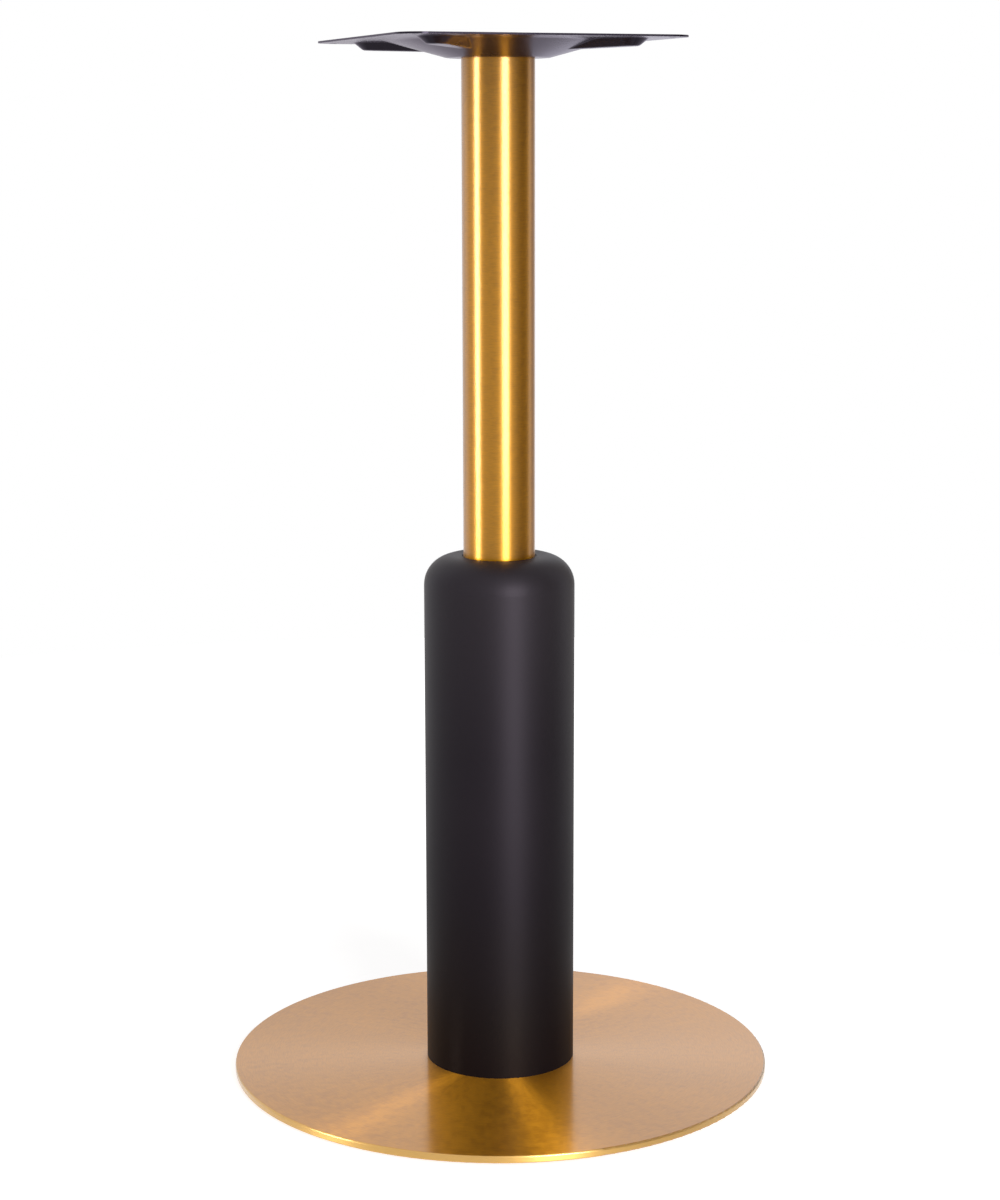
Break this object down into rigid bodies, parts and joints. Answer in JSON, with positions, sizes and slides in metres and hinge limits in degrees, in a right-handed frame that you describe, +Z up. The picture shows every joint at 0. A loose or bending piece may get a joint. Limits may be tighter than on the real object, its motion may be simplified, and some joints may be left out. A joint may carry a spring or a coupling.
{
  "type": "pedestal table base",
  "caption": "Bar-height pedestal table base: round brushed foot disc, black sleeve with a rounded shoulder, slim brushed tube and a square pressed-steel top plate.",
  "frame": {"origin": "on the column's axis, at floor level under the floor pads", "axes": "+Z up along the column; the top plate's sides lie along X and Y"},
  "size_m": [0.58, 0.58, 1.1],
  "materials": {
    "brass_finish": "brushed, satin lacquer",
    "black_coat": "fine satin powder coat",
    "black_plate": "semi-gloss black coat on pressed sheet",
    "steel": "plain mill finish",
    "zinc_plate": "bright zinc plate",
    "pad_rubber": "matt moulded",
    "nylon": "matt moulded"
  },
  "bodies": {
    "root": {"base_cover": "brass_finish", "base_weight": "steel", "floor_pad_1": "pad_rubber", "floor_pad_2": "pad_rubber", "floor_pad_3": "pad_rubber", "floor_pad_4": "pad_rubber", "floor_pad_5": "pad_rubber", "floor_pad_6": "pad_rubber", "pad_screws": "zinc_plate", "anchor_nut": "steel", "sleeve": "black_coat", "sleeve_ring": "steel", "sleeve_screws": "zinc_plate", "guide_ring": "nylon", "column_tube": "brass_finish", "tie_rod": "zinc_plate", "top_spigot": "steel", "top_plate": "black_plate", "top_washer": "zinc_plate", "spring_washer": "zinc_plate", "top_nut": "zinc_plate"}
  },
  "joints": []
}
